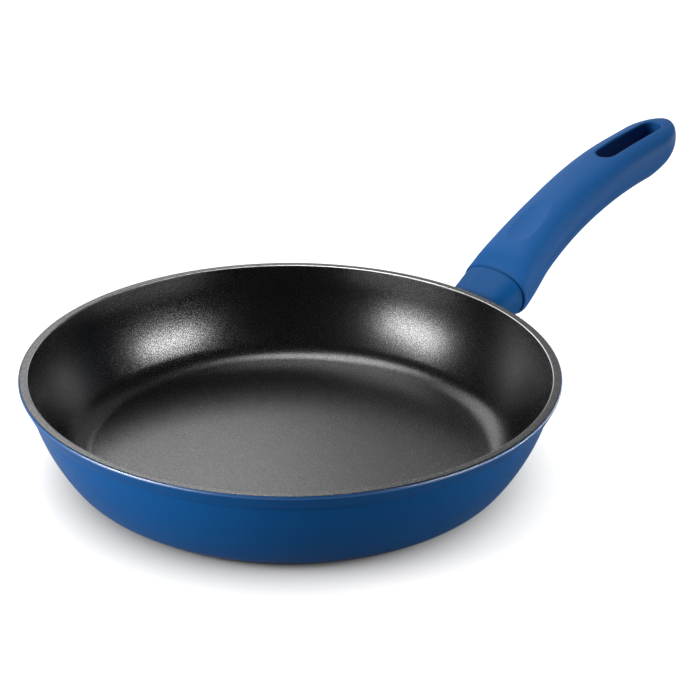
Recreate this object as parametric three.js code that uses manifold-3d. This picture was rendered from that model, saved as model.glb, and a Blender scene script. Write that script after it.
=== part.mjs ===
// A non-stick frying pan: an aluminium bowl with its two coatings and a steel base disc, and a moulded
// handle that one long screw pulls onto a boss on the bowl's wall, with a collar between them.
// Millimetres and degrees. +Z is up, the handle points along +X, and the origin is the centre of the
// underside.
import * as THREE from 'three';
import { mergeVertices } from 'three/addons/utils/BufferGeometryUtils.js';
import loadManifold from 'manifold-3d';

const wasm = await loadManifold();
wasm.setup();

// Bowl
const rimRadius = 120;
const panHeight = 47;
const outerWallLean = 13.3; // from vertical, just under the rim band
const outerWallRadius = 92; // the wall bellies out on this radius
const innerWallLean = 10; // at the rim's inner edge
const innerWallRadius = 88;
const floorThickness = 5.5;
const outerCornerRadius = 19;
const innerCornerRadius = 15;
const rimWidth = 4.2;
const rimBandHeight = 7.4;
const rimBandLean = 26;
const rimBandStep = 0.9; // how far the band stands out from the wall
const rimRound = 1.5; // outer shoulder of the rim
const rimChamfer = 0.5; // inner edge of the rim
const coatThickness = 0.3;
const coatEdge = 80; // the coat ends this far round the outer corner, 90 being the underside

// Base disc
const baseRingWidth = 8; // bare ring round the disc
const discThickness = 0.8;

// Handle
const collarReach = 24.6; // from the rim's edge to the seam between collar and handle
const collarDrop = 8; // from the rim's top down to the middle of that seam
const gripLength = 151; // along the bent centre line
const gripBendLength = 116; // the rest runs straight to the tip
const gripStartSlope = 36.2;
const gripEndSlope = 5.6;
const gripFrontWidth = 39.6;
const gripWaistWidth = 30.6;
const gripTailWidth = 29.5;
const gripFrontHeight = 24;
const gripWaistHeight = 23.8;
const gripTailHeight = 25.5;
const gripWaistAt = 67.5; // from the seam
const gripSettle = 22; // length over which the upright front turns square to the centre line
const gripLipRound = 1;
const gripSag = 4.3; // the underside swells this far behind the lip
const gripSagAt = 5; // where the swell is greatest, from the seam
const gripSagEnd = 24.5; // where it has died away
const gripTipLength = 20; // over which the tip's sides draw in
const gripTipRise = 33; // over which the tip's underside rises
const slotLength = 50;
const slotWidth = 11;
const slotTailWall = 9.5;
const scoopAt = 31.5; // deepest point of the thumb scoop, from the seam
const scoopDepth = 1.7;
const scoopFrontRadius = 35; // steep towards the pan
const scoopRearRadius = 130; // and fading out towards the tip
const scoopWidthRadius = 30;
const scoopHeightRadius = 34;

// Collar and boss
const collarWidth = 38.2;
const collarHeight = 23.3;
const collarWallEndWidth = 24;
const collarWallEndHeight = 18;
const collarWall = 1.3;
const seamGroove = 0.8;
const tenonLength = 8;
const bossWidth = 22;
const bossHeight = 12;

// Screw and washers
const screwDiameter = 5;
const screwEngagement = 14;
const headDiameter = 8.5;
const headHeight = 3.4;
const headSetback = 9; // from the slot's end wall to the head
const driveSlotWidth = 1.2;
const driveSlotDepth = 1.6;
const washerDiameter = 9;
const flatWasherThickness = 1;
const springWasherThickness = 1.3;
const springWasherSplit = 24; // degrees left open

// Fits and fineness
const seatGap = 0.3; // between a piece and its seat
const recessClearance = 0.5; // round the screw's head and washers
const overcut = 2; // how far a cutting solid runs past the face that it cuts
const sectionPower = 2.3; // 2 is an ellipse, more is squarer
const tipWidthPower = 1.9; // the tip's outline from above
const tipHeightPower = 1.76; // the tip's outline from the side
const tipLift = 0.81; // 1 keeps the tip's top level and rounds only its underside
const flarePower = 2; // how quickly the handle narrows behind its lip
const roundSteps = 60; // steps round the bowl
const arcSteps = 5; // steps on each arc of a profile
const sectionSteps = 32; // points round a section of the handle
const bodyStations = 20;
const tipStations = 7;
const tipCover = 0.95; // share of the tip's quarter turn that its sections reach
const lipSteps = 2;
const rodSteps = 24;
const slotEndSteps = 10;
const scoopSteps = 40;
const washerSteps = 20;

const radians = THREE.MathUtils.degToRad;
const { clamp, lerp, smoothstep, mapLinear } = THREE.MathUtils;
const quarterTurn = Math.PI / 2;

// Materials
const finishes = {
  aluminium: new THREE.MeshStandardMaterial({ color: 0xb9bcc0, roughness: 0.4, metalness: 1 }),
  lining: new THREE.MeshStandardMaterial({ color: 0x17181a, roughness: 0.38, metalness: 0 }),
  blueCoat: new THREE.MeshStandardMaterial({ color: 0x1d4f86, roughness: 0.45, metalness: 0 }),
  baseSteel: new THREE.MeshStandardMaterial({ color: 0xa7a9ab, roughness: 0.35, metalness: 1 }),
  softTouch: new THREE.MeshStandardMaterial({ color: 0x275a96, roughness: 0.62, metalness: 0 }),
  screwSteel: new THREE.MeshStandardMaterial({ color: 0x8d9094, roughness: 0.3, metalness: 1 }),
};

const pan = new THREE.Group();

function addPiece(name, geometry, material, parent = pan) {
  const mesh = new THREE.Mesh(geometry, material);
  mesh.name = name;
  parent.add(mesh);
}

// Solids that can be joined and cut
function solidFrom(geometry) {
  const bare = geometry.clone();
  bare.deleteAttribute('normal');
  bare.deleteAttribute('uv');
  const merged = mergeVertices(bare);
  return new wasm.Manifold(
    new wasm.Mesh({
      numProp: 3,
      vertProperties: new Float32Array(merged.attributes.position.array),
      triVerts: new Uint32Array(merged.index.array),
    }),
  );
}

function geometryFrom(solid) {
  const mesh = solid.getMesh();
  const geometry = new THREE.BufferGeometry();
  geometry.setAttribute('position', new THREE.BufferAttribute(new Float32Array(mesh.vertProperties), 3));
  geometry.setIndex(new THREE.BufferAttribute(new Uint32Array(mesh.triVerts), 1));
  geometry.computeVertexNormals();
  return geometry;
}

// A profile of (radius, height) points turned round the upright axis
function turned(points) {
  const geometry = new THREE.LatheGeometry(points, roundSteps);
  geometry.rotateX(quarterTurn);
  return geometry;
}

// A closed skin over rings of equal point counts, with a fan at each end
function lofted(rings) {
  const count = rings[0].length;
  const positions = rings.flat().flatMap((point) => point.toArray());
  const faces = [];
  for (let ring = 0; ring + 1 < rings.length; ring += 1) {
    for (let step = 0; step < count; step += 1) {
      const here = ring * count + step;
      const beside = ring * count + ((step + 1) % count);
      faces.push(here, beside, beside + count, here, beside + count, here + count);
    }
  }
  const sumOf = (ring) => ring.reduce((sum, point) => sum.add(point), new THREE.Vector3());
  const firstMiddle = rings.length * count;
  const lastStart = (rings.length - 1) * count;
  for (const ring of [rings[0], rings.at(-1)]) {
    positions.push(...sumOf(ring).divideScalar(count).toArray());
  }
  for (let step = 0; step < count; step += 1) {
    const next = (step + 1) % count;
    faces.push(firstMiddle, next, step, firstMiddle + 1, lastStart + step, lastStart + next);
  }
  const geometry = new THREE.BufferGeometry();
  geometry.setAttribute('position', new THREE.Float32BufferAttribute(positions, 3));
  geometry.setIndex(faces);
  return geometry;
}

// A rounded oval round a middle point in the XZ plane. A tilt of 0 stands it upright across the handle,
// and a sag makes its lower half deeper.
function ovalRing(middle, tilt, width, height, sag = 0) {
  const ring = [];
  for (let step = 0; step < sectionSteps; step += 1) {
    const turn = (2 * Math.PI * step) / sectionSteps;
    const across = Math.sign(Math.cos(turn)) * Math.abs(Math.cos(turn)) ** (2 / sectionPower);
    const along = Math.sign(Math.sin(turn)) * Math.abs(Math.sin(turn)) ** (2 / sectionPower);
    const lift = along * (along < 0 ? height / 2 + sag : height / 2);
    ring.push(
      new THREE.Vector3(
        middle.x - lift * Math.sin(tilt),
        (across * width) / 2,
        middle.z + lift * Math.cos(tilt),
      ),
    );
  }
  return ring;
}

function arcPoints(centre, radius, from, to, steps = arcSteps) {
  const points = [];
  for (let step = 0; step <= steps; step += 1) {
    const angle = lerp(from, to, step / steps);
    points.push(new THREE.Vector2(centre.x + radius * Math.cos(angle), centre.y + radius * Math.sin(angle)));
  }
  return points;
}

// Bowl profile. Depth is how far a profile lies inside the surface that shows.
const bandLean = radians(rimBandLean);
const shoulder = new THREE.Vector2(rimRadius - rimRound, panHeight - rimRound);
const bandFoot = panHeight - rimBandHeight;

function bandRadius(height, depth) {
  return shoulder.x + (rimRound - depth) / Math.cos(bandLean) - (shoulder.y - height) * Math.tan(bandLean);
}

// The outside wall is an arc that runs smoothly into the corner's arc
const topLean = radians(outerWallLean);
const wallCentre = new THREE.Vector2(
  bandRadius(bandFoot, 0) - rimBandStep - outerWallRadius * Math.cos(topLean),
  bandFoot + outerWallRadius * Math.sin(topLean),
);
const cornerDrop = wallCentre.y - outerCornerRadius;
const cornerReach = Math.sqrt((outerWallRadius - outerCornerRadius) ** 2 - cornerDrop ** 2);
const outerCorner = new THREE.Vector2(wallCentre.x + cornerReach, outerCornerRadius);
const arcsMeet = -Math.atan2(cornerDrop, cornerReach);

function outerProfile(depth, startAngle, endAngle) {
  const wallArc = outerWallRadius - depth;
  const step = bandFoot + depth;
  const stepTop = step + rimBandStep / 2;
  const wallTop = Math.asin((step - wallCentre.y) / wallArc);
  return [
    ...arcPoints(outerCorner, outerCornerRadius - depth, startAngle, arcsMeet),
    ...arcPoints(wallCentre, wallArc, arcsMeet, wallTop).slice(1),
    new THREE.Vector2(bandRadius(stepTop, depth), stepTop),
    ...arcPoints(shoulder, rimRound - depth, -bandLean, endAngle),
  ];
}

// The inside wall is an arc too, and runs smoothly into the inside corner's arc
const innerLean = radians(innerWallLean);
const innerCentre = new THREE.Vector2(
  rimRadius - rimWidth - innerWallRadius * Math.cos(innerLean),
  panHeight + innerWallRadius * Math.sin(innerLean),
);
const innerCornerHeight = floorThickness + innerCornerRadius;
const innerDrop = innerCentre.y - innerCornerHeight;
const innerReach = Math.sqrt((innerWallRadius - innerCornerRadius) ** 2 - innerDrop ** 2);
const innerCorner = new THREE.Vector2(innerCentre.x + innerReach, innerCornerHeight);
const innerArcsMeet = -Math.atan2(innerDrop, innerReach);

function innerProfile(depth) {
  const edge = panHeight - depth;
  const wallArc = innerWallRadius + depth;
  const wallTop = Math.asin((edge - rimChamfer - innerCentre.y) / wallArc);
  const wall = arcPoints(innerCentre, wallArc, innerArcsMeet, wallTop);
  return [
    new THREE.Vector2(0, floorThickness - depth),
    ...arcPoints(innerCorner, innerCornerRadius + depth, -quarterTurn, innerArcsMeet),
    ...wall.slice(1),
    new THREE.Vector2(wall.at(-1).x + rimChamfer, edge),
  ];
}

const bodyDepth = coatThickness + seatGap;
const coatStart = -radians(coatEdge);
const coatStop = Math.acos(seatGap / rimRound);
const baseFlatRadius = outerCorner.x;
const discRadius = baseFlatRadius - baseRingWidth;
const discPocket = discThickness + seatGap;
const bareEdge = coatStart - seatGap / outerCornerRadius;

// Pan body: bare on its underside up to where the coat starts
const bodyPoints = [
  new THREE.Vector2(0, discPocket),
  new THREE.Vector2(discRadius + seatGap, discPocket),
  new THREE.Vector2(discRadius + seatGap, 0),
  ...arcPoints(outerCorner, outerCornerRadius, -quarterTurn, bareEdge, 1),
  ...outerProfile(bodyDepth, bareEdge, quarterTurn),
  ...innerProfile(bodyDepth).reverse(),
];
addPiece('pan_body', turned(bodyPoints), finishes.aluminium);

// Non-stick lining: the inside of the bowl and the top of the rim
const liningPoints = [
  ...innerProfile(coatThickness),
  new THREE.Vector2(shoulder.x, panHeight - coatThickness),
  new THREE.Vector2(shoulder.x, panHeight),
  ...innerProfile(0).reverse(),
];
addPiece('nonstick_lining', turned(liningPoints), finishes.lining);

// Base disc, flush with the underside
const discPoints = [
  new THREE.Vector2(0, 0),
  new THREE.Vector2(discRadius, 0),
  new THREE.Vector2(discRadius, discThickness),
  new THREE.Vector2(0, discThickness),
];
addPiece('base_disc', turned(discPoints), finishes.baseSteel);

// Handle centre line in the XZ plane: an arc from the seam that flattens, then a straight tail
const seam = new THREE.Vector3(rimRadius + collarReach, 0, panHeight - collarDrop);
const startSlope = radians(gripStartSlope);
const gripBendRadius = gripBendLength / (startSlope - radians(gripEndSlope));

function slopeAt(distance) {
  return startSlope - Math.min(distance, gripBendLength) / gripBendRadius;
}

function centreAt(distance) {
  const slope = slopeAt(distance);
  const straight = Math.max(distance - gripBendLength, 0);
  return new THREE.Vector3(
    seam.x + gripBendRadius * (Math.sin(startSlope) - Math.sin(slope)) + straight * Math.cos(slope),
    0,
    seam.z + gripBendRadius * (Math.cos(slope) - Math.cos(startSlope)) + straight * Math.sin(slope),
  );
}

function gripSize(distance, front, waist, tail) {
  const flare = Math.max(1 - distance / gripWaistAt, 0) ** flarePower;
  return lerp(waist, front, flare) + (tail - waist) * smoothstep(distance, gripWaistAt, gripLength);
}

function gripHeightAt(distance) {
  return gripSize(distance, gripFrontHeight, gripWaistHeight, gripTailHeight);
}

// Screw axis: straight from the seam to the end wall of the hanging slot
const slotEnd = centreAt(gripLength - slotTailWall).x;
const slotStart = centreAt(gripLength - slotTailWall - slotLength);
const screwRise = Math.atan2(slotStart.z - seam.z, slotStart.x - seam.x);
const screwReach = seam.distanceTo(slotStart);

function axisPoint(x) {
  return new THREE.Vector3(x, 0, seam.z + (x - seam.x) * Math.tan(screwRise));
}

const screwLine = new THREE.Group();
screwLine.position.copy(seam);
screwLine.rotation.y = quarterTurn - screwRise;
screwLine.updateMatrix();
pan.add(screwLine);

// A rod along Z, and the same rod laid along the screw axis
function rod(diameter, from, to) {
  const geometry = new THREE.CylinderGeometry(diameter / 2, diameter / 2, to - from, rodSteps);
  return geometry.rotateX(quarterTurn).translate(0, 0, (from + to) / 2);
}

function boreSolid(diameter, from, to) {
  return solidFrom(rod(diameter, from, to).applyMatrix4(screwLine.matrix));
}

// Collar, boss and tenon share upright oval sections along the screw axis
const wallEndX = outerCorner.x;

function collarOval(x, inset) {
  return ovalRing(
    axisPoint(x),
    0,
    mapLinear(x, wallEndX, seam.x, collarWallEndWidth, collarWidth) - 2 * inset,
    mapLinear(x, wallEndX, seam.x, collarWallEndHeight, collarHeight) - 2 * inset,
  );
}

function bossOval(x, growth) {
  return ovalRing(axisPoint(x), 0, bossWidth + 2 * growth, bossHeight + 2 * growth);
}

// The whole bowl as one block, for cutting saddles
function panBlock(depth) {
  const points = [
    new THREE.Vector2(0, depth),
    ...outerProfile(depth, -quarterTurn, quarterTurn),
    new THREE.Vector2(0, panHeight - depth),
  ];
  return solidFrom(turned(points));
}

const tenonEnd = seam.x - tenonLength;
const bossEnd = tenonEnd - seatGap;
const collarEnd = seam.x - seamGroove;

// Outer coat, open where the boss is welded to the wall
const coatPoints = [
  ...outerProfile(0, coatStart, coatStop),
  ...outerProfile(coatThickness, coatStart, coatStop).reverse(),
];
coatPoints.push(coatPoints[0].clone());
const bossWindow = solidFrom(lofted([bossOval(wallEndX, seatGap), bossOval(bossEnd, seatGap)]));
const coatSolid = solidFrom(turned(coatPoints)).subtract(bossWindow);
addPiece('outer_coat', geometryFrom(coatSolid), finishes.blueCoat);

// Handle boss: saddled to the body's wall, tapped for the screw
const boreDiameter = screwDiameter + 2 * seatGap;
const tenonReach = tenonLength / Math.cos(screwRise);
const screwTip = -tenonReach - screwEngagement;
const bossSolid = solidFrom(lofted([bossOval(wallEndX, 0), bossOval(bossEnd, 0)]))
  .subtract(panBlock(coatThickness))
  .subtract(boreSolid(boreDiameter, screwTip - seatGap, 0));
addPiece('handle_boss', geometryFrom(bossSolid), finishes.aluminium);

// Flame guard: the oval collar, saddled to the coated wall
const collarOuter = solidFrom(lofted([collarOval(wallEndX, 0), collarOval(collarEnd, 0)]));
const collarHollow = solidFrom(
  lofted([collarOval(wallEndX - overcut, collarWall), collarOval(collarEnd + overcut, collarWall)]),
);
const collarSolid = collarOuter.subtract(collarHollow).subtract(panBlock(-seatGap));
addPiece('flame_guard', geometryFrom(collarSolid), finishes.blueCoat);

// Handle grip
function tipShare(distance, length, power) {
  const share = clamp((distance - gripLength + length) / length, 0, 1);
  return (1 - share ** power) ** (1 / power);
}

function gripRing(distance, shrink) {
  const tilt = slopeAt(distance) * smoothstep(distance, 0, gripSettle);
  const fullWidth = gripSize(distance, gripFrontWidth, gripWaistWidth, gripTailWidth);
  const fullHeight = gripHeightAt(distance);
  const width = fullWidth * tipShare(distance, gripTipLength, tipWidthPower);
  const height = fullHeight * tipShare(distance, gripTipRise, tipHeightPower);
  const swell = smoothstep(distance, 0, gripSagAt) - smoothstep(distance, gripSagAt, gripSagEnd);
  const raise = (tipLift * (fullHeight - height)) / 2;
  const middle = centreAt(distance);
  middle.x -= raise * Math.sin(tilt);
  middle.z += raise * Math.cos(tilt);
  return ovalRing(middle, tilt, width - 2 * shrink, height - 2 * shrink, gripSag * swell);
}

const tipStart = gripLength - gripTipLength;
const gripRings = [];
for (let step = 0; step < lipSteps; step += 1) {
  const turn = (quarterTurn * step) / lipSteps;
  gripRings.push(gripRing(gripLipRound * (1 - Math.cos(turn)), gripLipRound * (1 - Math.sin(turn))));
}
for (let station = 0; station <= bodyStations; station += 1) {
  gripRings.push(gripRing(lerp(gripLipRound, tipStart, station / bodyStations), 0));
}
for (let station = 1; station <= tipStations; station += 1) {
  const share = Math.sin((quarterTurn * tipCover * station) / tipStations);
  gripRings.push(gripRing(tipStart + gripTipLength * share, 0));
}

const tenonInset = collarWall + seatGap;
const tenon = solidFrom(lofted([collarOval(tenonEnd, tenonInset), collarOval(seam.x + overcut, tenonInset)]));

// The slot is cut straight down, and its ends are half round
const slotHalf = slotWidth / 2;
const slotOutline = new THREE.Shape();
slotOutline.absarc(slotStart.x + slotHalf, 0, slotHalf, quarterTurn, 3 * quarterTurn, false);
slotOutline.absarc(slotEnd - slotHalf, 0, slotHalf, -quarterTurn, quarterTurn, false);
const slotCut = new THREE.ExtrudeGeometry(slotOutline, {
  depth: 4 * gripTailHeight,
  bevelEnabled: false,
  curveSegments: slotEndSteps,
});
slotCut.translate(0, 0, slotStart.z - 2 * gripTailHeight);

// The thumb scoop is the top of the handle cut by an egg whose blunt end is towards the pan
const scoopSlope = slopeAt(scoopAt);
const scoopMiddle = centreAt(scoopAt);
const scoopRise = gripHeightAt(scoopAt) / 2 - scoopDepth + scoopHeightRadius;
const scoopCut = new THREE.SphereGeometry(1, scoopSteps, scoopSteps / 2);
const eggPoints = scoopCut.attributes.position;
for (let index = 0; index < eggPoints.count; index += 1) {
  const along = eggPoints.getX(index);
  eggPoints.setX(index, along * (along < 0 ? scoopFrontRadius : scoopRearRadius));
}
scoopCut
  .scale(1, scoopWidthRadius, scoopHeightRadius)
  .rotateY(-scoopSlope)
  .translate(
    scoopMiddle.x - scoopRise * Math.sin(scoopSlope),
    0,
    scoopMiddle.z + scoopRise * Math.cos(scoopSlope),
  );

// Where the head and washers lie along the screw axis
const headTop = screwReach - headSetback;
const headSeat = headTop - headHeight;
const springWasherFrom = headSeat - seatGap - springWasherThickness;
const flatWasherFrom = springWasherFrom - seatGap - flatWasherThickness;
const recessFloor = flatWasherFrom - seatGap;
const recessDiameter = Math.max(washerDiameter, headDiameter) + 2 * recessClearance;

const gripSolid = solidFrom(lofted(gripRings))
  .add(tenon)
  .subtract(solidFrom(slotCut))
  .subtract(solidFrom(scoopCut))
  .subtract(boreSolid(boreDiameter, -tenonReach - collarWidth / 2, recessFloor + overcut))
  .subtract(boreSolid(recessDiameter, recessFloor, screwReach + slotHalf));
addPiece('handle_grip', geometryFrom(gripSolid), finishes.softTouch);

// Screw and washers, along the screw line
const driveSlot = new THREE.BoxGeometry(driveSlotWidth, 2 * headDiameter, 2 * driveSlotDepth);
driveSlot.translate(0, 0, headTop);
const screwSolid = solidFrom(rod(screwDiameter, screwTip, headSeat + headHeight / 2))
  .add(solidFrom(rod(headDiameter, headSeat, headTop)))
  .subtract(solidFrom(driveSlot));
addPiece('handle_screw', geometryFrom(screwSolid), finishes.screwSteel, screwLine);

function washer(thickness, from, split) {
  const outer = washerDiameter / 2;
  const inner = boreDiameter / 2;
  const outline = new THREE.Shape();
  if (split > 0) {
    const half = radians(split) / 2;
    outline.absarc(0, 0, outer, half, 2 * Math.PI - half, false);
    outline.absarc(0, 0, inner, 2 * Math.PI - half, half, true);
  } else {
    outline.absarc(0, 0, outer, 0, 2 * Math.PI, false);
    const hole = new THREE.Path();
    hole.absarc(0, 0, inner, 0, 2 * Math.PI, true);
    outline.holes.push(hole);
  }
  const geometry = new THREE.ExtrudeGeometry(outline, {
    depth: thickness,
    bevelEnabled: false,
    curveSegments: washerSteps,
  });
  return geometry.translate(0, 0, from);
}

const springWasher = washer(springWasherThickness, springWasherFrom, springWasherSplit);
addPiece('flat_washer', washer(flatWasherThickness, flatWasherFrom, 0), finishes.screwSteel, screwLine);
addPiece('spring_washer', springWasher, finishes.screwSteel, screwLine);

export default pan;
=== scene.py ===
import math
import bmesh
import bpy
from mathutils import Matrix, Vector


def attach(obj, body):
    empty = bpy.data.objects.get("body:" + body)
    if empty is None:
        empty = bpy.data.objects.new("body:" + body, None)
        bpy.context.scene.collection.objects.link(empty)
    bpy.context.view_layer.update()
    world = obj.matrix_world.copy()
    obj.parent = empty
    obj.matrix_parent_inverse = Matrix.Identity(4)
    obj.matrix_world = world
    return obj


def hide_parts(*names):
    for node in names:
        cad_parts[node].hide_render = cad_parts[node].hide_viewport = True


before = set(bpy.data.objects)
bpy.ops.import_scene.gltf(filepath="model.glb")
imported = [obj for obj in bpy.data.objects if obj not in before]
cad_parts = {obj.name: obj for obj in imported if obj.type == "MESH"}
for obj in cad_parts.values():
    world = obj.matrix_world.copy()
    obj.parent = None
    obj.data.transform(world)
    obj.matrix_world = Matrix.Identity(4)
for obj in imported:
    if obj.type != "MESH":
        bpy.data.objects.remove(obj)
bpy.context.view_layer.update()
print("frame:", len(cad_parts), "nodes loaded")

mm = 0.001  # lengths below are in millimetres, and Blender's are in metres


# Nodes and colours

def linearColour(hexText):
    shades = [int(hexText[start:start + 2], 16) / 255 for start in (1, 3, 5)]
    return [s / 12.92 if s <= 0.04045 else ((s + 0.055) / 1.055) ** 2.4 for s in shades] + [1.0]


def perMm(size):
    return 1000 / size  # texture scale for a pattern of this size in millimetres


def addNode(tree, kind, settings, sockets):
    made = tree.nodes.new("ShaderNode" + kind)
    for name, value in settings.items():
        setattr(made, name, value)
    for name, value in sockets.items():
        if isinstance(value, bpy.types.NodeSocket):
            tree.links.new(value, made.inputs[name])
        else:
            made.inputs[name].default_value = value
    return made


def newMaterial(name):
    material = bpy.data.materials.new(name)
    material.use_nodes = True
    material.node_tree.nodes.clear()
    return material


def finishMaterial(material, sockets):
    tree = material.node_tree
    shader = addNode(tree, "BsdfPrincipled", {}, sockets)
    addNode(tree, "OutputMaterial", {}, {"Surface": shader.outputs["BSDF"]})
    return material


noiseSpan = {"From Min": 0.3, "From Max": 0.7}  # most values of a noise texture lie in between


def unevenSkin(tree, pattern, look, depth):
    # Smoother and rougher places after a pattern, which also raises the surface by up to this depth
    gloss = addNode(tree, "MapRange", {}, {
        "Value": pattern.outputs["Fac"], **noiseSpan, "To Min": look["smooth"], "To Max": look["rough"]})
    relief = addNode(tree, "Bump", {}, {
        "Height": pattern.outputs["Fac"], "Strength": 1.0, "Distance": depth * mm})
    return {"Roughness": gloss.outputs["Result"], "Normal": relief.outputs["Normal"]}


def axisDistance(tree, place):
    # How far a point lies from the pan's upright axis
    flat = addNode(tree, "VectorMath", {"operation": "MULTIPLY"}, {0: place, 1: (1.0, 1.0, 0.0)})
    return addNode(tree, "VectorMath", {"operation": "LENGTH"}, {0: flat.outputs["Vector"]}).outputs["Value"]


# Materials

nonStickLook = {
    "black": "#060607", "fleck": "#17181a",
    "fleckSize": 0.9, "fleckEdge": (0.12, 0.3),  # a fleck fades out between these shares of its size
    "peel": 0.4, "peelDepth": 0.03,  # orange peel of the sprayed film
    "speck": 0.4, "dull": 0.15, "bright": 0.88,  # glossier and duller grains
    "smooth": 0.21, "rough": 0.29, "ior": 1.45,
    "bare": "#c3c5c8", "bareRough": 0.34,
    "bareOut": 0.2, "bareHalf": 0.15,  # the bare line beyond the inner edge, and half its width
    "bareDepth": 0.5,  # how far down from the rim's top it can reach
}


def sprayedNonStick(innerEdge, rimHeight):
    # Fluoropolymer sprayed and baked: black and half glossy, its grain breaks up the highlights.
    # The rim's inner edge is turned bright after the spraying, so a line of bare aluminium shows there.
    look = nonStickLook
    material = newMaterial("sprayed_fluoropolymer_nonstick")
    tree = material.node_tree
    place = addNode(tree, "TexCoord", {}, {}).outputs["Object"]
    flecks = addNode(tree, "TexVoronoi", {"feature": "F1"}, {
        "Vector": place, "Scale": perMm(look["fleckSize"]), "Randomness": 1.0})
    fleckEdge = addNode(tree, "MapRange", {}, {
        "Value": flecks.outputs["Distance"], "From Min": look["fleckEdge"][0],
        "From Max": look["fleckEdge"][1], "To Min": 1.0, "To Max": 0.0})
    colour = addNode(tree, "MixRGB", {}, {
        "Fac": fleckEdge.outputs["Result"],
        "Color1": linearColour(look["black"]), "Color2": linearColour(look["fleck"])})
    peel = addNode(tree, "TexNoise", {}, {
        "Vector": place, "Scale": perMm(look["peel"]), "Detail": 2.0, "Roughness": 0.55})
    skin = unevenSkin(tree, peel, look, look["peelDepth"])
    specks = addNode(tree, "TexNoise", {}, {"Vector": place, "Scale": perMm(look["speck"]), "Detail": 1.0})
    shine = addNode(tree, "MapRange", {}, {
        "Value": specks.outputs["Fac"], **noiseSpan, "To Min": look["dull"], "To Max": look["bright"]})
    onEdge = addNode(tree, "Math", {"operation": "COMPARE"}, {
        0: axisDistance(tree, place), 1: (innerEdge + look["bareOut"]) * mm, 2: look["bareHalf"] * mm})
    height = addNode(tree, "SeparateXYZ", {}, {"Vector": place})
    onTop = addNode(tree, "Math", {"operation": "GREATER_THAN"}, {
        0: height.outputs["Z"], 1: (rimHeight - look["bareDepth"]) * mm})
    bare = addNode(tree, "Math", {"operation": "MULTIPLY"}, {
        0: onEdge.outputs["Value"], 1: onTop.outputs["Value"]}).outputs["Value"]
    tint = addNode(tree, "MixRGB", {}, {
        "Fac": bare, "Color1": colour.outputs["Color"], "Color2": linearColour(look["bare"])})
    polish = addNode(tree, "Mix", {"data_type": "FLOAT"}, {
        "Factor": bare, "A": skin["Roughness"], "B": look["bareRough"]})
    return finishMaterial(material, {
        "Base Color": tint.outputs["Color"], "Roughness": polish.outputs["Result"], "Normal": skin["Normal"],
        "Metallic": bare, "IOR": look["ior"], "Specular IOR Level": shine.outputs["Result"]})


enamelLook = {
    "blue": "#09467c", "deep": "#084276",
    "drift": 40.0,  # slow change of tint over the sprayed wall
    "peel": 1.6, "peelDepth": 0.0008,
    "smooth": 0.28, "rough": 0.34, "ior": 1.5, "shine": 0.07,
    "edgeShine": 1.0, "edgeFade": 0.5,  # the gloss grows over this height, just under the rounded edge
}


def bakedBlueEnamel(edgeHeight):
    # Baked enamel paint: an even satin blue with soft highlights and a barely uneven skin.
    # The paint is thicker on the rim's rounded edge, so it is glossier there.
    look = enamelLook
    material = newMaterial("baked_satin_blue_enamel")
    tree = material.node_tree
    place = addNode(tree, "TexCoord", {}, {}).outputs["Object"]
    drift = addNode(tree, "TexNoise", {}, {"Vector": place, "Scale": perMm(look["drift"]), "Detail": 1.0})
    colour = addNode(tree, "MixRGB", {}, {
        "Fac": drift.outputs["Fac"],
        "Color1": linearColour(look["blue"]), "Color2": linearColour(look["deep"])})
    peel = addNode(tree, "TexNoise", {}, {"Vector": place, "Scale": perMm(look["peel"]), "Detail": 2.0})
    skin = unevenSkin(tree, peel, look, look["peelDepth"])
    height = addNode(tree, "SeparateXYZ", {}, {"Vector": place})
    shine = addNode(tree, "MapRange", {}, {
        "Value": height.outputs["Z"],
        "From Min": (edgeHeight - look["edgeFade"]) * mm, "From Max": edgeHeight * mm,
        "To Min": look["shine"], "To Max": look["edgeShine"]})
    return finishMaterial(material, {
        **skin, "Base Color": colour.outputs["Color"], "IOR": look["ior"],
        "Specular IOR Level": shine.outputs["Result"]})


softTouchLook = {
    # slot: a darker blue, painted shade on the slot's walls
    "name": "moulded_soft_touch_blue", "blue": "#154b82", "deep": "#13477c", "slot": "#11427a",
    "drift": 30.0, "grain": 0.5, "grainDepth": 0.012,  # grain coarser than the real 0.1 mm, so that it shows
    "smooth": 0.52, "rough": 0.62, "ior": 1.48, "shine": 0.1, "sheen": 0.03,
}
collarLook = {
    "name": "moulded_matte_blue", "blue": "#094376", "deep": "#083f70",
    "drift": 30.0, "grain": 0.5, "grainDepth": 0.006,  # grain coarser than real here too
    "smooth": 0.42, "rough": 0.5, "ior": 1.5, "shine": 0.06, "sheen": 0.0,
}


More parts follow.
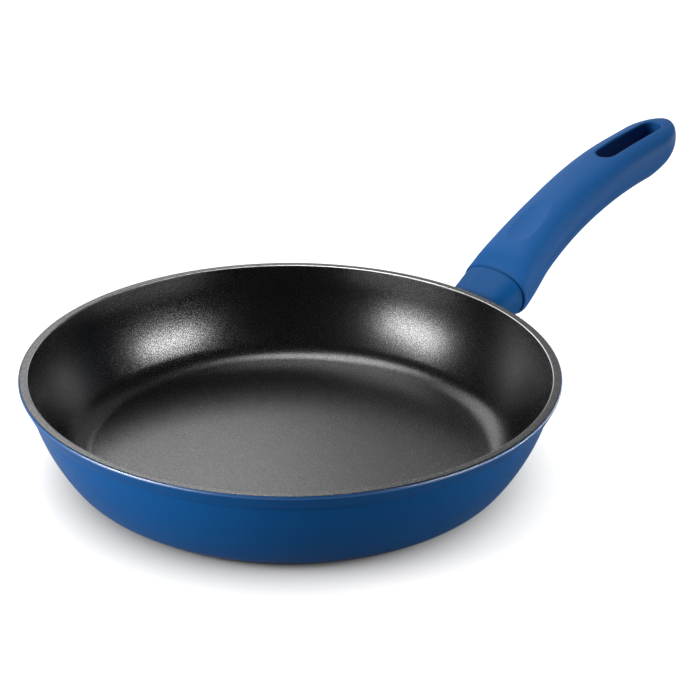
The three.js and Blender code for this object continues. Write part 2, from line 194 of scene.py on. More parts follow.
def mouldedBlue(look):
    # Moulded plastic: matte, with a fine grain. A soft-touch skin gives a faint bloom at the edges.
    # Where a slot is marked, painted shade darkens its walls below the lips to a deeper blue.
    material = newMaterial(look["name"])
    tree = material.node_tree
    place = addNode(tree, "TexCoord", {}, {}).outputs["Object"]
    drift = addNode(tree, "TexNoise", {}, {"Vector": place, "Scale": perMm(look["drift"]), "Detail": 1.0})
    colour = addNode(tree, "MixRGB", {}, {
        "Fac": drift.outputs["Fac"],
        "Color1": linearColour(look["blue"]), "Color2": linearColour(look["deep"])})
    if "slot" in look:
        # painted shade: the slot's walls below the lips take the darker blue
        slotShade = addNode(tree, "Attribute", {"attribute_name": "painted_slot_shade"}, {})
        colour = addNode(tree, "MixRGB", {}, {
            "Fac": slotShade.outputs["Fac"],
            "Color1": colour.outputs["Color"], "Color2": linearColour(look["slot"])})
    grain = addNode(tree, "TexNoise", {}, {
        "Vector": place, "Scale": perMm(look["grain"]), "Detail": 3.0, "Roughness": 0.6})
    return finishMaterial(material, {
        **unevenSkin(tree, grain, look, look["grainDepth"]), "Base Color": colour.outputs["Color"],
        "IOR": look["ior"], "Specular IOR Level": look["shine"],
        "Sheen Weight": look["sheen"], "Sheen Roughness": 0.4})


turnedSteelLook = {
    "name": "turned_stainless_steel", "bright": "#c3c4c6", "dull": "#a9abae",
    "ring": 0.7, "ringDepth": 0.006,  # tool marks, drawn coarser than the real 0.1 mm, so that they show
    "smooth": 0.24, "rough": 0.36,
}
bareAluminiumLook = {
    "name": "turned_bare_aluminium", "bright": "#cfd1d4", "dull": "#b4b7bb",
    "ring": 1.0, "ringDepth": 0.008,  # coarser than real here too
    "smooth": 0.32, "rough": 0.46,
}


def turnedMetal(look):
    # Metal faced on a lathe: fine rings round the pan's axis that draw the highlights out into fans
    material = newMaterial(look["name"])
    tree = material.node_tree
    place = addNode(tree, "TexCoord", {}, {}).outputs["Object"]
    spread = addNode(tree, "Math", {"operation": "MULTIPLY"}, {
        0: axisDistance(tree, place), 1: perMm(look["ring"])})
    rings = addNode(tree, "TexNoise", {"noise_dimensions": "1D"}, {
        "W": spread.outputs["Value"], "Scale": 1.0, "Detail": 3.0, "Roughness": 0.7})
    colour = addNode(tree, "MixRGB", {}, {
        "Fac": rings.outputs["Fac"],
        "Color1": linearColour(look["bright"]), "Color2": linearColour(look["dull"])})
    return finishMaterial(material, {
        **unevenSkin(tree, rings, look, look["ringDepth"]),
        "Base Color": colour.outputs["Color"], "Metallic": 1.0})


platedSteelLook = {"bright": "#c6cace", "dull": "#a5aaae", "cloud": 1.8, "smooth": 0.22, "rough": 0.38}


def zincPlatedSteel():
    # Bright zinc plate: pale bluish metal, a little cloudy
    look = platedSteelLook
    material = newMaterial("bright_zinc_plated_steel")
    tree = material.node_tree
    place = addNode(tree, "TexCoord", {}, {}).outputs["Object"]
    cloud = addNode(tree, "TexNoise", {}, {"Vector": place, "Scale": perMm(look["cloud"]), "Detail": 3.0})
    colour = addNode(tree, "MixRGB", {}, {
        "Fac": cloud.outputs["Fac"],
        "Color1": linearColour(look["bright"]), "Color2": linearColour(look["dull"])})
    gloss = addNode(tree, "MapRange", {}, {
        "Value": cloud.outputs["Fac"], **noiseSpan, "To Min": look["smooth"], "To Max": look["rough"]})
    return finishMaterial(material, {
        "Base Color": colour.outputs["Color"], "Roughness": gloss.outputs["Result"], "Metallic": 1.0})


softTouch = mouldedBlue(softTouchLook)
collarPlastic = mouldedBlue(collarLook)
baseSteel = turnedMetal(turnedSteelLook)
bareAluminium = turnedMetal(bareAluminiumLook)
platedSteel = zincPlatedSteel()
print("materials: made")


# Shapes

def smoothStep(value, low, high):
    share = min(max((value - low) / (high - low), 0.0), 1.0)
    return share * share * (3 - 2 * share)


def between(start, end, share):
    return start + (end - start) * share


def arcPoints(centre, radius, fromDegrees, toDegrees, steps):
    points = []
    for step in range(steps + 1):
        angle = math.radians(between(fromDegrees, toDegrees, step / steps))
        points.append((centre[0] + radius * math.cos(angle), centre[1] + radius * math.sin(angle)))
    return points


def roundedCorner(before, point, after, radius, steps=5):
    middle = Vector(point)
    back = (Vector(before) - middle).normalized()
    ahead = (Vector(after) - middle).normalized()
    half = back.angle(ahead) / 2
    centre = middle + (back + ahead).normalized() * (radius / math.sin(half))
    first = middle + back * (radius / math.tan(half)) - centre
    last = middle + ahead * (radius / math.tan(half)) - centre
    start = math.atan2(first.y, first.x)
    turn = (math.atan2(last.y, last.x) - start + math.pi) % (2 * math.pi) - math.pi
    return arcPoints(centre, radius, math.degrees(start), math.degrees(start + turn), steps)


def meshFrom(name, points, faces):
    mesh = bpy.data.meshes.new(name)
    mesh.from_pydata([Vector(point) * mm for point in points], [], faces)
    built = bmesh.new()
    built.from_mesh(mesh)
    bmesh.ops.recalc_face_normals(built, faces=built.faces)
    built.to_mesh(mesh)
    built.free()
    return mesh


def facesBetween(rings, looped):
    faces = []
    for lower, upper in zip(rings, rings[1:] + (rings[:1] if looped else [])):
        for step in range(len(lower)):
            after = (step + 1) % len(lower)
            corners = [lower[step], lower[after], upper[after], upper[step]]
            faces.append(list(dict.fromkeys(corners)))  # two corners on the axis make one
    return [face for face in faces if len(face) > 2]


def turnedMesh(name, profile, looped, sides=288):
    # The profile's (radius, height) points go round the upright axis. A point on the axis stays single.
    points = []
    rings = []
    for radius, height in profile:
        count = sides if radius > 0 else 1
        rings.append([len(points) + step % count for step in range(sides)])
        for step in range(count):
            angle = 2 * math.pi * step / sides
            points.append((radius * math.cos(angle), radius * math.sin(angle), height))
    return meshFrom(name, points, facesBetween(rings, looped))


def loftedMesh(name, sections, looped=False):
    # A skin over sections of equal point counts, closed at its ends or back to its start
    count = len(sections[0])
    points = [point for section in sections for point in section]
    rings = [list(range(start, start + count)) for start in range(0, len(points), count)]
    faces = facesBetween(rings, looped)
    if not looped:
        faces += [rings[0], rings[-1]]
    return meshFrom(name, points, faces)


def looseObject(name, data):
    made = bpy.data.objects.new(name, data)
    bpy.context.scene.collection.objects.link(made)
    return made


def placePiece(name, mesh, material, nodes, sharpAngle=35):
    mesh.shade_smooth()
    mesh.set_sharp_from_angle(angle=math.radians(sharpAngle))
    mesh.materials.clear()
    mesh.materials.append(material)
    piece = looseObject(name, mesh)
    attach(piece, "root")
    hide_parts(*nodes)


# Bowl

bowl = {
    "rimRadius": 120.0, "height": 47.0, "rimWidth": 4.2, "rimRound": 1.1, "rimInnerRound": 0.9,
    "blackEdge": 58.0, "blueEdge": 52.0,  # where the two coats stop on the rounded outer edge, in degrees
    "bandHeight": 7.4, "bandLean": 26.0, "bandStep": 0.9, "bandSoftness": 0.4,
    "wallLean": 13.3, "wallRadius": 92.0, "cornerRadius": 19.0,
    "innerLean": 10.0, "innerWallRadius": 88.0, "innerCorner": 15.0, "floor": 5.5,
    "coat": 0.3, "seat": 0.3,  # thickness of both coats, and the gap between neighbours
    "coatEdge": 80.0, "edgeRound": 0.2,  # where the enamel stops under the corner, in degrees
    "ringWidth": 8.0, "discThickness": 0.8,
}
arcSteps = {
    "wall": 40, "corner": 24, "rim": 14, "inside": 32, "innerEdge": 8, "liningEdge": 6, "bareFoot": 4,
}
nonStick = sprayedNonStick(bowl["rimRadius"] - bowl["rimWidth"], bowl["height"])
blueEnamel = bakedBlueEnamel(bowl["height"] - bowl["rimRound"])
shoulder = (bowl["rimRadius"] - bowl["rimRound"], bowl["height"] - bowl["rimRound"])
bandFoot = bowl["height"] - bowl["bandHeight"]
bandTan = math.tan(math.radians(bowl["bandLean"]))
bandCos = math.cos(math.radians(bowl["bandLean"]))


def bandRadius(height, depth=0.0):
    return shoulder[0] + (bowl["rimRound"] - depth) / bandCos - (shoulder[1] - height) * bandTan


wallTopLean = math.radians(bowl["wallLean"])
wallCentre = (
    bandRadius(bandFoot) - bowl["bandStep"] - bowl["wallRadius"] * math.cos(wallTopLean),
    bandFoot + bowl["wallRadius"] * math.sin(wallTopLean),
)
cornerDrop = wallCentre[1] - bowl["cornerRadius"]
cornerReach = math.sqrt((bowl["wallRadius"] - bowl["cornerRadius"]) ** 2 - cornerDrop ** 2)
corner = (wallCentre[0] + cornerReach, bowl["cornerRadius"])
arcsMeet = -math.degrees(math.atan2(cornerDrop, cornerReach))
arcsMeetHeight = corner[1] + bowl["cornerRadius"] * math.sin(math.radians(arcsMeet))
discRadius = corner[0] - bowl["ringWidth"]


def outsideRadius(height):
    if height < arcsMeetHeight:
        return corner[0] + math.sqrt(bowl["cornerRadius"] ** 2 - (height - corner[1]) ** 2)
    if height < bandFoot:
        return wallCentre[0] + math.sqrt(bowl["wallRadius"] ** 2 - (height - wallCentre[1]) ** 2)
    return bandRadius(min(height, shoulder[1]))


def outsideProfile(depth, startDegrees, endDegrees):
    wallArc = bowl["wallRadius"] - depth
    foot = bandFoot + depth
    ledge = foot + bowl["bandStep"] / 2
    wallTop = math.degrees(math.asin((foot - wallCentre[1]) / wallArc))
    wall = arcPoints(wallCentre, wallArc, arcsMeet, wallTop, arcSteps["wall"])
    stepOut = (bandRadius(ledge, depth), ledge)
    shoulderArc = arcPoints(
        shoulder, bowl["rimRound"] - depth, -bowl["bandLean"], endDegrees, arcSteps["rim"])
    return (
        arcPoints(corner, bowl["cornerRadius"] - depth, startDegrees, arcsMeet, arcSteps["corner"])
        + wall[1:-1]
        + roundedCorner(wall[-2], wall[-1], stepOut, bowl["bandSoftness"])
        + roundedCorner(wall[-1], stepOut, shoulderArc[0], bowl["bandSoftness"])
        + shoulderArc
    )


innerSin = math.sin(math.radians(bowl["innerLean"]))
innerCos = math.cos(math.radians(bowl["innerLean"]))
innerCentre = (
    bowl["rimRadius"] - bowl["rimWidth"] - bowl["innerWallRadius"] * innerCos,
    bowl["height"] + bowl["innerWallRadius"] * innerSin,
)
innerCornerHeight = bowl["floor"] + bowl["innerCorner"]
innerCornerDrop = innerCentre[1] - innerCornerHeight
innerCornerReach = math.sqrt((bowl["innerWallRadius"] - bowl["innerCorner"]) ** 2 - innerCornerDrop ** 2)
innerCorner = (innerCentre[0] + innerCornerReach, innerCornerHeight)
innerArcsMeet = -math.degrees(math.atan2(innerCornerDrop, innerCornerReach))


def insideProfile(depth):
    # From the middle of the floor up the curved wall and over the rounded inner edge of the rim
    wallArc = bowl["innerWallRadius"] + depth
    edge = bowl["rimInnerRound"]
    edgeDrop = innerCentre[1] - (bowl["height"] - depth - edge)
    edgeReach = math.sqrt((wallArc + edge) ** 2 - edgeDrop ** 2)
    edgeCentre = (innerCentre[0] + edgeReach, innerCentre[1] - edgeDrop)
    edgeTurn = -math.degrees(math.atan2(edgeDrop, edgeReach))
    return (
        [(0.0, bowl["floor"] - depth), (innerCorner[0] / 2, bowl["floor"] - depth)]
        + arcPoints(innerCorner, bowl["innerCorner"] + depth, -90, innerArcsMeet, arcSteps["inside"])
        + arcPoints(innerCentre, wallArc, innerArcsMeet, edgeTurn, arcSteps["inside"])[1:]
        + arcPoints(edgeCentre, edge, 180 + edgeTurn, 90, arcSteps["innerEdge"])
    )


def makeLining():
    # Inside the bowl and over the rim's outer edge
    steps = arcSteps["liningEdge"]
    over = arcPoints(shoulder, bowl["rimRound"], 90, bowl["blackEdge"], steps)
    under = arcPoints(shoulder, bowl["rimRound"] - bowl["coat"], bowl["blackEdge"], 90, steps)
    profile = insideProfile(0.0) + over + under + insideProfile(bowl["coat"])[::-1]
    mesh = turnedMesh("non_stick_lining", profile, False)
    placePiece("non_stick_lining", mesh, nonStick, ["nonstick_lining"])


def makeOuterCoat():
    outside = outsideProfile(0.0, -bowl["coatEdge"], bowl["blueEdge"])
    behind = outsideProfile(bowl["coat"], -bowl["coatEdge"], bowl["blueEdge"])[::-1]
    mesh = turnedMesh("blue_outer_coat", outside + behind, True)
    placePiece("blue_outer_coat", mesh, blueEnamel, ["outer_coat"])


def makeBody():
    pocket = bowl["discThickness"] + bowl["seat"]
    pocketRadius = discRadius + bowl["seat"]
    depth = bowl["coat"] + bowl["seat"]
    bareEdge = -bowl["coatEdge"] - math.degrees(bowl["seat"] / bowl["cornerRadius"])
    lip = roundedCorner((pocketRadius, pocket), (pocketRadius, 0.0), (corner[0], 0.0), bowl["edgeRound"])
    profile = (
        [(0.0, pocket), (pocketRadius, pocket)]
        + lip
        + arcPoints(corner, bowl["cornerRadius"], -90, bareEdge, arcSteps["bareFoot"])
        + outsideProfile(depth, bareEdge, 90)
        + insideProfile(depth)[::-1]
    )
    mesh = turnedMesh("aluminium_body", profile, False)
    placePiece("aluminium_body", mesh, bareAluminium, ["pan_body"])


baseDisc = {"firstGroove": 14.0, "grooveSpacing": 8.0, "grooveWidth": 1.6, "grooveDepth": 0.3, "edge": 0.25}


def makeBaseDisc():
    # Steel disc with shallow turned grooves, which let it grow with heat
    profile = [(0.0, 0.0)]
    groove = baseDisc["firstGroove"]
    half = baseDisc["grooveWidth"] / 2
    while groove + 2 * half < discRadius:
        for offset, height in [(-half, 0), (-half / 2, 1), (half / 2, 1), (half, 0)]:
            profile.append((groove + offset, height * baseDisc["grooveDepth"]))
        groove += baseDisc["grooveSpacing"]
    top = bowl["discThickness"]
    profile += roundedCorner(profile[-1], (discRadius, 0.0), (discRadius, top), baseDisc["edge"])
    profile += [(discRadius, top), (0.0, top)]
    mesh = turnedMesh("steel_base_disc", profile, False)
    placePiece("steel_base_disc", mesh, baseSteel, ["base_disc"])


makeLining()
makeOuterCoat()
makeBody()
makeBaseDisc()
print("bowl: turned")


# Handle

grip = {
    "collarReach": 24.6, "collarDrop": 8.0,  # the seam's middle, out from the rim and down
    "length": 151.0, "bend": 116.0, "startSlope": 36.2, "endSlope": 5.6,  # centre line from the seam
    "width": (38.8, 30.6, 29.5), "depth": (23.6, 23.8, 25.5),  # at the seam, the waist and the tail
    "waistAt": 67.5, "flarePower": 2.0,
    "settle": 22.0,  # sections stand upright at the seam, and are square to the centre line from here
    "lip": 0.9, "power": 2.3,
    "flatPower": 3.2, "flatDrop": 0.1, "flatFrom": 50.0, "flatTo": 108.0,  # flatter top round the slot
    "sag": 4.3, "sagAt": 5.0, "sagEnd": 24.5,  # swell of the underside behind the lip
    "tipLength": 20.0, "tipWidthPower": 1.9,  # rounding of the end, seen from above
    "tipRise": 33.0, "tipDepthPower": 1.76, "tipLift": 0.81,  # and seen from the side
    "slotLength": 50.0, "slotWidth": 10.6, "slotTail": 9.5, "slotLip": 0.7,
    "scoopAt": 31.5, "scoopDepth": 1.7, "scoopFront": 35.0, "scoopRear": 130.0,
    "scoopWide": 30.0, "scoopHigh": 34.0,
    "wallMark": (0.3, 1.0), "lipMark": (0.6, 1.4),  # where the painted shade on the slot's walls fades, in mm and in lips
    "recess": 10.0, "recessDepth": 15.5,
    "lipSteps": 6, "stations": 120, "tipStations": 30, "slotSteps": 24,
    "tipCover": 0.985,  # the last section stops just short of the tip, and a flat closes it
    "voxel": 0.4, "softness": 0.5, "softPasses": 4,
}
seam = (bowl["rimRadius"] + grip["collarReach"], bowl["height"] - grip["collarDrop"])
startSlope = math.radians(grip["startSlope"])
bendRadius = grip["bend"] / (startSlope - math.radians(grip["endSlope"]))


def slopeAt(distance):
    return startSlope - min(distance, grip["bend"]) / bendRadius


def centreAt(distance):
    slope = slopeAt(distance)
    tail = max(distance - grip["bend"], 0.0)
    return (
        seam[0] + bendRadius * (math.sin(startSlope) - math.sin(slope)) + tail * math.cos(slope),
        seam[1] + bendRadius * (math.cos(slope) - math.cos(startSlope)) + tail * math.sin(slope),
    )


def gripSize(distance, sizes):
    front, waist, tail = sizes
    flare = max(1 - distance / grip["waistAt"], 0.0) ** grip["flarePower"]
    swell = smoothStep(distance, grip["waistAt"], grip["length"])
    return between(waist, front, flare) + (tail - waist) * swell


def topForm(distance):
    # Power of the upper half's oval, and how much of its height is left
    flat = smoothStep(distance, grip["flatFrom"], grip["flatTo"])
    return between(grip["power"], grip["flatPower"], flat), 1 - grip["flatDrop"] * flat


def ovalSection(middle, tilt, width, depth, sag=0.0, top=(grip["power"], 1.0), count=128):
    # A rounded oval across the handle. A tilt of 0 stands it upright, and a sag deepens its lower half.
    section = []
    for step in range(count):
        turn = 2 * math.pi * step / count
        upper = step < count / 2
        power = top[0] if upper else grip["power"]
        across = math.copysign(abs(math.cos(turn)) ** (2 / power), math.cos(turn))
        along = math.copysign(abs(math.sin(turn)) ** (2 / power), math.sin(turn))
        lift = along * (depth / 2 * top[1] if upper else depth / 2 + sag)
        section.append((
            middle[0] - lift * math.sin(tilt), across * width / 2, middle[1] + lift * math.cos(tilt)))
    return section


def tipShare(distance, length, power):
    share = min(max((distance - grip["length"] + length) / length, 0.0), 1.0)
    return (1 - share ** power) ** (1 / power)


def gripForm(distance):
    # Width and depth, and how far the middle rises where the tip's underside draws up
    fullDepth = gripSize(distance, grip["depth"])
    depth = fullDepth * tipShare(distance, grip["tipRise"], grip["tipDepthPower"])
    width = gripSize(distance, grip["width"]) * tipShare(distance, grip["tipLength"], grip["tipWidthPower"])
    return width, depth, grip["tipLift"] * (fullDepth - depth) / 2


def gripSection(distance, shrink=0.0):
    tilt = slopeAt(distance) * smoothStep(distance, 0.0, grip["settle"])
    width, depth, raised = gripForm(distance)
    swell = smoothStep(distance, 0.0, grip["sagAt"]) - smoothStep(distance, grip["sagAt"], grip["sagEnd"])
    x, z = centreAt(distance)
    middle = (x - raised * math.sin(tilt), z + raised * math.cos(tilt))
    return ovalSection(
        middle, tilt, width - 2 * shrink, depth - 2 * shrink, grip["sag"] * swell, topForm(distance))


slotStart = centreAt(grip["length"] - grip["slotTail"] - grip["slotLength"])
slotEnd = centreAt(grip["length"] - grip["slotTail"])
screwRise = math.atan2(slotStart[1] - seam[1], slotStart[0] - seam[0])
screwReach = math.hypot(slotStart[1] - seam[1], slotStart[0] - seam[0])


def axisHeight(x):
    return seam[1] + (x - seam[0]) * math.tan(screwRise)


def rodSections(diameter, fromReach, toReach, count=48):
    # Two rings round the screw's line, at distances from the seam
    sections = []
    for reach in (fromReach, toReach):
        ring = []
        for step in range(count):
            turn = 2 * math.pi * step / count
            lift = diameter / 2 * math.sin(turn)
            ring.append((
                seam[0] + reach * math.cos(screwRise) - lift * math.sin(screwRise),
                diameter / 2 * math.cos(turn),
                seam[1] + reach * math.sin(screwRise) + lift * math.cos(screwRise)))
        sections.append(ring)
    return sections


def topHeight(x, y, tries=4):
    # Height of the grip's top over a point near the slot
    distance = grip["bend"]
    for again in range(tries):
        distance += (x - centreAt(distance)[0]) / math.cos(slopeAt(distance))
    distance = min(distance, grip["length"] - 1)  # the section closes at the very tip
    width, depth, raised = gripForm(distance)
    power, share = topForm(distance)
    across = max(1 - abs(2 * y / width) ** power, 0.0) ** (1 / power)
    return centreAt(distance)[1] + raised + depth / 2 * share * across


def slotOutline(offset):
    half = grip["slotWidth"] / 2
    steps = grip["slotSteps"]
    outline = arcPoints((slotEnd[0] - half, 0.0), half + offset, -90, 90, steps)
    return outline + arcPoints((slotStart[0] + half, 0.0), half + offset, 90, 270, steps)


def slotSections(steps=8):
    # Straight walls below, and lips that open in a quarter round up to the grip's top
    lip = grip["slotLip"]
    reach = 2 * grip["depth"][2]
    sections = [[(x, y, slotStart[1] - reach) for x, y in slotOutline(0.0)]]
    for step in range(steps + 1):
        turn = math.pi / 2 * step / steps
        outline = slotOutline(lip * (1 - math.cos(turn)))
        sections.append([(x, y, topHeight(x, y) - lip * (1 - math.sin(turn))) for x, y in outline])
    sections.append([(x, y, slotStart[1] + reach) for x, y in slotOutline(lip)])
    return sections


def markSlotShade(mesh):
    # The material reads this mark and paints shade on the slot's walls below its lips
    half = grip["slotWidth"] / 2
    straight = (slotEnd[0] - slotStart[0]) / 2 - half
    lipFrom, lipTo = [lips * grip["slotLip"] for lips in grip["lipMark"]]
    shares = []
    for vert in mesh.vertices:
        x, y, z = vert.co / mm
        along = max(abs(x - (slotStart[0] + slotEnd[0]) / 2) - straight, 0.0)
        inside = 1 - smoothStep(math.hypot(along, y) - half, *grip["wallMark"])
        below = smoothStep(topHeight(x, y) - z, lipFrom, lipTo) if inside else 0.0
        shares.append(inside * below)
    mesh.attributes.new("painted_slot_shade", "FLOAT", "POINT").data.foreach_set("value", shares)


def scoopSections(steps=48):
    # An egg that cuts the thumb scoop, with its blunt end towards the pan
    slope = slopeAt(grip["scoopAt"])
    middle = centreAt(grip["scoopAt"])
    rise = gripSize(grip["scoopAt"], grip["depth"]) / 2 - grip["scoopDepth"] + grip["scoopHigh"]
    sections = []
    for station in range(1, steps):
        angle = math.pi * station / steps
        along = -math.cos(angle) * (grip["scoopFront"] if station < steps / 2 else grip["scoopRear"])
        ring = []
        for step in range(2 * steps):
            turn = math.pi * step / steps
            lift = rise + grip["scoopHigh"] * math.sin(angle) * math.sin(turn)
            ring.append((
                middle[0] + along * math.cos(slope) - lift * math.sin(slope),
                grip["scoopWide"] * math.sin(angle) * math.cos(turn),
                middle[1] + along * math.sin(slope) + lift * math.cos(slope)))
        sections.append(ring)
    return sections


def bakedMesh(worked, name):
    bpy.context.view_layer.update()
    settled = worked.evaluated_get(bpy.context.evaluated_depsgraph_get())
    mesh = bpy.data.meshes.new_from_object(settled)
    mesh.name = name
    return mesh


def gripSections():
    sections = []
    lip = grip["lip"]
    tipStart = grip["length"] - grip["tipLength"]
    for step in range(grip["lipSteps"]):
        turn = math.pi / 2 * step / grip["lipSteps"]
        sections.append(gripSection(lip * (1 - math.cos(turn)), lip * (1 - math.sin(turn))))
    for station in range(grip["stations"] + 1):
        sections.append(gripSection(between(lip, tipStart, station / grip["stations"])))
    for station in range(1, grip["tipStations"] + 1):
        share = math.sin(math.pi / 2 * grip["tipCover"] * station / grip["tipStations"])
        sections.append(gripSection(tipStart + grip["tipLength"] * share))
    return sections


collar = {
    "seamSize": (37.1, 22.3), "wallSize": (24.0, 18.0), "thickness": 1.3, "groove": 0.8, "endRound": 0.4,
    "tenonReach": 4.0, "tenonRoot": 1.5,  # the grip's tenon fills the collar behind the groove
    "innerSteps": 10, "roundSteps": 6, "outerSteps": 20,
}


def collarSection(x, inset):
    share = (x - corner[0]) / (seam[0] - corner[0])
    width, depth = [between(wall, end, share) - 2 * inset
                    for wall, end in zip(collar["wallSize"], collar["seamSize"])]
    return ovalSection((x, axisHeight(x)), 0.0, width, depth)


def makeGrip():
    # Joined, cut and softened as one, so that the edges of slot and scoop are rounded as on a moulding
    shape = looseObject("grip_shape", loftedMesh("grip_shape", gripSections()))
    recessStart = screwReach - grip["recessDepth"]
    cutters = [
        looseObject("slot_cut", loftedMesh("slot_cut", slotSections())),
        looseObject("scoop_cut", loftedMesh("scoop_cut", scoopSections())),
        looseObject("recess_cut", loftedMesh("recess_cut", rodSections(
            grip["recess"], recessStart, screwReach + grip["slotWidth"] / 2))),
    ]
    tenonInset = collar["thickness"] + bowl["seat"]
    tenonEnds = (seam[0] - collar["tenonReach"], seam[0] + collar["tenonRoot"])
    tenon = looseObject("tenon_join", loftedMesh("tenon_join", [
        collarSection(x, tenonInset) for x in tenonEnds]))
    for tool in [tenon] + cutters:
        change = shape.modifiers.new(tool.name, "BOOLEAN")
        change.operation = "UNION" if tool == tenon else "DIFFERENCE"
        change.solver = "EXACT"
        change.object = tool
    remesh = shape.modifiers.new("even", "REMESH")
    remesh.mode = "VOXEL"
    remesh.voxel_size = grip["voxel"] * mm
    soften = shape.modifiers.new("soften", "SMOOTH")
    soften.factor = grip["softness"]
    soften.iterations = grip["softPasses"]
    mesh = bakedMesh(shape, "moulded_handle")
    markSlotShade(mesh)
    for spent in cutters + [tenon, shape]:
        bpy.data.objects.remove(spent)
    placePiece("moulded_handle", mesh, softTouch, ["handle_grip"], sharpAngle=60)


def meetsWall(outer, inner, halvings=40):
    # Where a straight line of the collar comes within the seat's gap of the coated wall
    near, far = 0.0, 1.0
    for halving in range(halvings):
        share = (near + far) / 2
        point = Vector(outer).lerp(Vector(inner), share)
        clear = math.hypot(point.x, point.y) - outsideRadius(max(point.z, 0.0)) - bowl["seat"]
        if clear > 0:
            near = share
        else:
            far = share
    return near


def collarRun(inset, shares):
    # Rings of the collar's skin from its end to the bowl's wall
    end = seam[0] - collar["groove"] - collar["endRound"]
    outer = collarSection(end, inset)
    inner = collarSection(corner[0], inset)
    reaches = [meetsWall(a, b) for a, b in zip(outer, inner)]
    return [[Vector(a).lerp(Vector(b), reach * share) for a, b, reach in zip(outer, inner, reaches)]
            for share in shares]


def makeCollar():
    # From the wall along the inside to the seam, round the end and back along the outside
    end = seam[0] - collar["groove"]
    radius = collar["endRound"]
    inSteps = collar["innerSteps"]
    outSteps = collar["outerSteps"]
    sections = collarRun(collar["thickness"], [step / inSteps for step in range(inSteps, -1, -1)])
    sections.append(collarSection(end, collar["thickness"]))
    for step in range(collar["roundSteps"] + 1):
        turn = math.pi / 2 * step / collar["roundSteps"]
        sections.append(collarSection(end - radius * (1 - math.cos(turn)), radius * (1 - math.sin(turn))))
    sections += collarRun(0.0, [step / outSteps for step in range(1, outSteps + 1)])
    mesh = loftedMesh("oval_collar", sections, True)
    placePiece("oval_collar", mesh, collarPlastic, ["flame_guard"], sharpAngle=50)


def dressNode(node, material):
    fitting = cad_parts[node]
    fitting.data.materials.clear()
    fitting.data.materials.append(material)


makeGrip()
makeCollar()
dressNode("handle_boss", bareAluminium)
for fastener in ("handle_screw", "flat_washer", "spring_washer"):
    dressNode(fastener, platedSteel)
print("handle: moulded and fitted")


# Studio

studio = {
    "floorRings": (0.07, 0.3, 1.0, 14.0), "floorSides": 96,  # radii in metres, the first round a window
    "paper": "#8e8e8e", "glow": 1.0, "mirroredGlow": 0.1,
    # the glow fades out inside these radii in metres round this centre: a painted contact shadow
    "paintedShadowCentre": (-0.0035, -0.0013, 0.0), "paintedShadowFrom": 0.0888, "paintedShadowTo": 0.135, "paintedShadowPower": 2.0,
    "room": 0.04,
    "backdrop": (0.72, 0.69, 0.0), "backdropEdge": (0.55, 0.88),  # direction, and cosines at its soft edge
    "underEdge": (-0.05, -0.3),  # sines of the slopes between which the white under the pan begins
}


def seenShare(tree, mirroredShare):
    # 1 where the camera looks straight or through something clear, and this share where it looks by a mirror
    path = addNode(tree, "LightPath", {}, {})
    mirrored = addNode(tree, "Math", {"operation": "MULTIPLY"}, {
        0: path.outputs["Is Glossy Ray"], 1: mirroredShare})
    direct = addNode(tree, "Math", {"operation": "MAXIMUM"}, {
        0: path.outputs["Is Camera Ray"], 1: path.outputs["Is Transmission Ray"]})
    return addNode(tree, "Math", {"operation": "MAXIMUM"}, {
        0: direct.outputs["Value"], 1: mirrored.outputs["Value"]}).outputs["Value"]


def studioFloor():
    # Matte paper, which a glow lifts to white. The glow fades out round the pan's foot, which paints a
    # contact shadow there, deepened by the real shadow that the paper shows.
    # From below the sheet is clear, and a window under the pan leaves its underside in view.
    material = newMaterial("matte_white_paper")
    tree = material.node_tree
    place = addNode(tree, "TexCoord", {}, {}).outputs["Object"]
    # painted shadow: the glow fades towards the pan's foot
    away = addNode(tree, "VectorMath", {"operation": "DISTANCE"}, {0: place, 1: studio["paintedShadowCentre"]})
    near = addNode(tree, "MapRange", {}, {
        "Value": away.outputs["Value"], "From Min": studio["paintedShadowFrom"], "From Max": studio["paintedShadowTo"],
        "To Min": 1.0, "To Max": 0.0})
    shade = addNode(tree, "Math", {"operation": "POWER"}, {0: near.outputs["Result"], 1: studio["paintedShadowPower"]})
    glow = addNode(tree, "MapRange", {}, {
        "Value": shade.outputs["Value"], "To Min": studio["glow"], "To Max": 0.0})
    strength = addNode(tree, "Math", {"operation": "MULTIPLY"}, {
        0: glow.outputs["Result"], 1: seenShare(tree, studio["mirroredGlow"])})
    paper = addNode(tree, "BsdfPrincipled", {}, {
        "Base Color": linearColour(studio["paper"]), "Roughness": 0.9, "Specular IOR Level": 0.1,
        "Emission Color": (1.0, 1.0, 1.0, 1.0), "Emission Strength": strength.outputs["Value"]})
    below = addNode(tree, "BsdfTransparent", {}, {})
    side = addNode(tree, "NewGeometry", {}, {})
    sheet = addNode(tree, "MixShader", {}, {
        "Fac": side.outputs["Backfacing"], 1: paper.outputs["BSDF"], 2: below.outputs["BSDF"]})
    addNode(tree, "OutputMaterial", {}, {"Surface": sheet.outputs["Shader"]})
    profile = [(radius / mm, 0.0) for radius in studio["floorRings"]]
    mesh = turnedMesh("studio_floor", profile, False, studio["floorSides"])
    if mesh.polygons[0].normal.z < 0:
        mesh.flip_normals()
    mesh.materials.append(material)
    floor = looseObject("studio_floor", mesh)


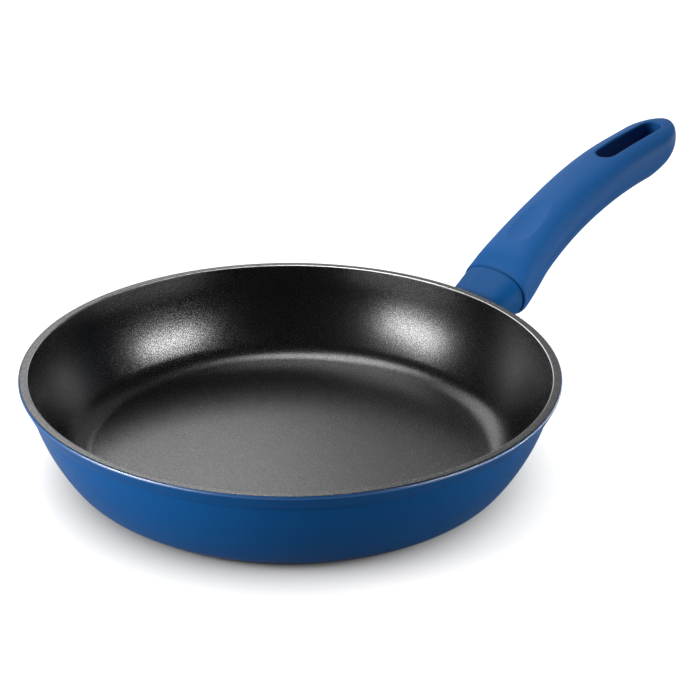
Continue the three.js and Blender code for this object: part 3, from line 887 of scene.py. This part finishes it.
def studioRoom():
    # White to the camera. Reflections show the white backdrop behind the pan and, in a pan seen from below,
    # white under it, with a dim room elsewhere.
    world = bpy.data.worlds.new("studio_room")
    world.use_nodes = True
    tree = world.node_tree
    tree.nodes.clear()
    direction = addNode(tree, "TexCoord", {}, {}).outputs["Generated"]
    facing = addNode(tree, "VectorMath", {"operation": "DOT_PRODUCT"}, {0: direction, 1: studio["backdrop"]})
    edgeFrom, edgeTo = studio["backdropEdge"]
    backdrop = addNode(tree, "MapRange", {}, {
        "Value": facing.outputs["Value"], "From Min": edgeFrom, "From Max": edgeTo})
    height = addNode(tree, "SeparateXYZ", {}, {"Vector": direction})
    underFrom, underTo = studio["underEdge"]
    below = addNode(tree, "MapRange", {}, {
        "Value": height.outputs["Z"], "From Min": underFrom, "From Max": underTo})
    white = addNode(tree, "Math", {"operation": "MAXIMUM"}, {
        0: backdrop.outputs["Result"], 1: below.outputs["Result"]})
    strength = addNode(tree, "MapRange", {}, {
        "Value": seenShare(tree, white.outputs["Value"]), "To Min": studio["room"], "To Max": 1.0})
    room = addNode(tree, "Background", {}, {
        "Color": (1.0, 1.0, 1.0, 1.0), "Strength": strength.outputs["Result"]})
    addNode(tree, "OutputWorld", {}, {"Surface": room.outputs["Background"]})
    bpy.context.scene.world = world


# Softboxes by the direction that they stand in, seen from what they aim at: degrees round and up, metres,
# watts. A grid is a honeycomb that narrows the beam to so many degrees, and without it the front is open.
panCentre = (0.0, 0.0, 0.03)
farWall = (0.0, 0.105, 0.018)
openFront = 180.0
lowStrip = {"aim": panCentre, "up": 1.7, "away": 0.5, "size": (0.5, 0.05)}
rightStrip = {"aim": farWall, "away": 1.18, "size": (0.2, 0.12), "power": 0.046, "grid": 18.0}
softboxes = {
    "top_softbox": {
        "aim": panCentre, "round": 160.0, "up": 70.0, "away": 1.15, "size": (0.6, 0.45), "power": 9.4},
    "left_softbox": {
        "aim": panCentre, "round": -113.0, "up": 24.5, "away": 1.1, "size": (0.56, 0.19), "power": 14.0},
    "back_panel": {
        "aim": panCentre, "round": 154.0, "up": 36.0, "away": 1.7, "size": (1.1, 0.6), "power": 7.0},
    "low_strip_back": {
        "aim": panCentre, "round": 66.0, "up": 1.5, "away": 1.1, "size": (1.0, 0.06), "power": 4.5},
    "low_strip_right": {**lowStrip, "round": 25.0, "power": 1.0},
    "low_strip_left": {**lowStrip, "round": -104.0, "power": 1.4},
    "right_strip_near": {**rightStrip, "round": 9.5, "up": 30.0},
    "right_strip_middle": {**rightStrip, "round": 19.5, "up": 28.5},
    "right_strip_far": {**rightStrip, "round": 29.5, "up": 25.5},
}


def makeSoftboxes():
    for name, box in softboxes.items():
        turn = math.radians(box["round"])
        up = math.radians(box["up"])
        outward = Vector((math.sin(turn) * math.cos(up), -math.cos(turn) * math.cos(up), math.sin(up)))
        lamp = bpy.data.lights.new(name, "AREA")
        lamp.shape = "RECTANGLE"
        lamp.size, lamp.size_y = box["size"]
        lamp.energy = box["power"]
        lamp.spread = math.radians(box.get("grid", openFront))
        stand = looseObject(name, lamp)
        stand.location = Vector(box["aim"]) + outward * box["away"]
        stand.rotation_euler = (-outward).to_track_quat("-Z", "Y").to_euler()


photoCamera = {
    "place": (-0.5771, -0.5573, 0.4268), "tilt": 65.1, "heading": -46.0,
    "lens": 102.86, "sensor": 36.0, "shift": 0.0854,
}


def makeCamera():
    lens = bpy.data.cameras.new("photo_camera")
    lens.lens = photoCamera["lens"]
    lens.sensor_width = photoCamera["sensor"]
    lens.shift_x = photoCamera["shift"]
    camera = looseObject("photo_camera", lens)
    camera.location = photoCamera["place"]
    camera.rotation_euler = (math.radians(photoCamera["tilt"]), 0.0, math.radians(photoCamera["heading"]))
    bpy.context.scene.camera = camera


studioFloor()
studioRoom()
makeSoftboxes()
makeCamera()
bpy.context.scene.view_settings.view_transform = "Standard"
print("studio: lit")
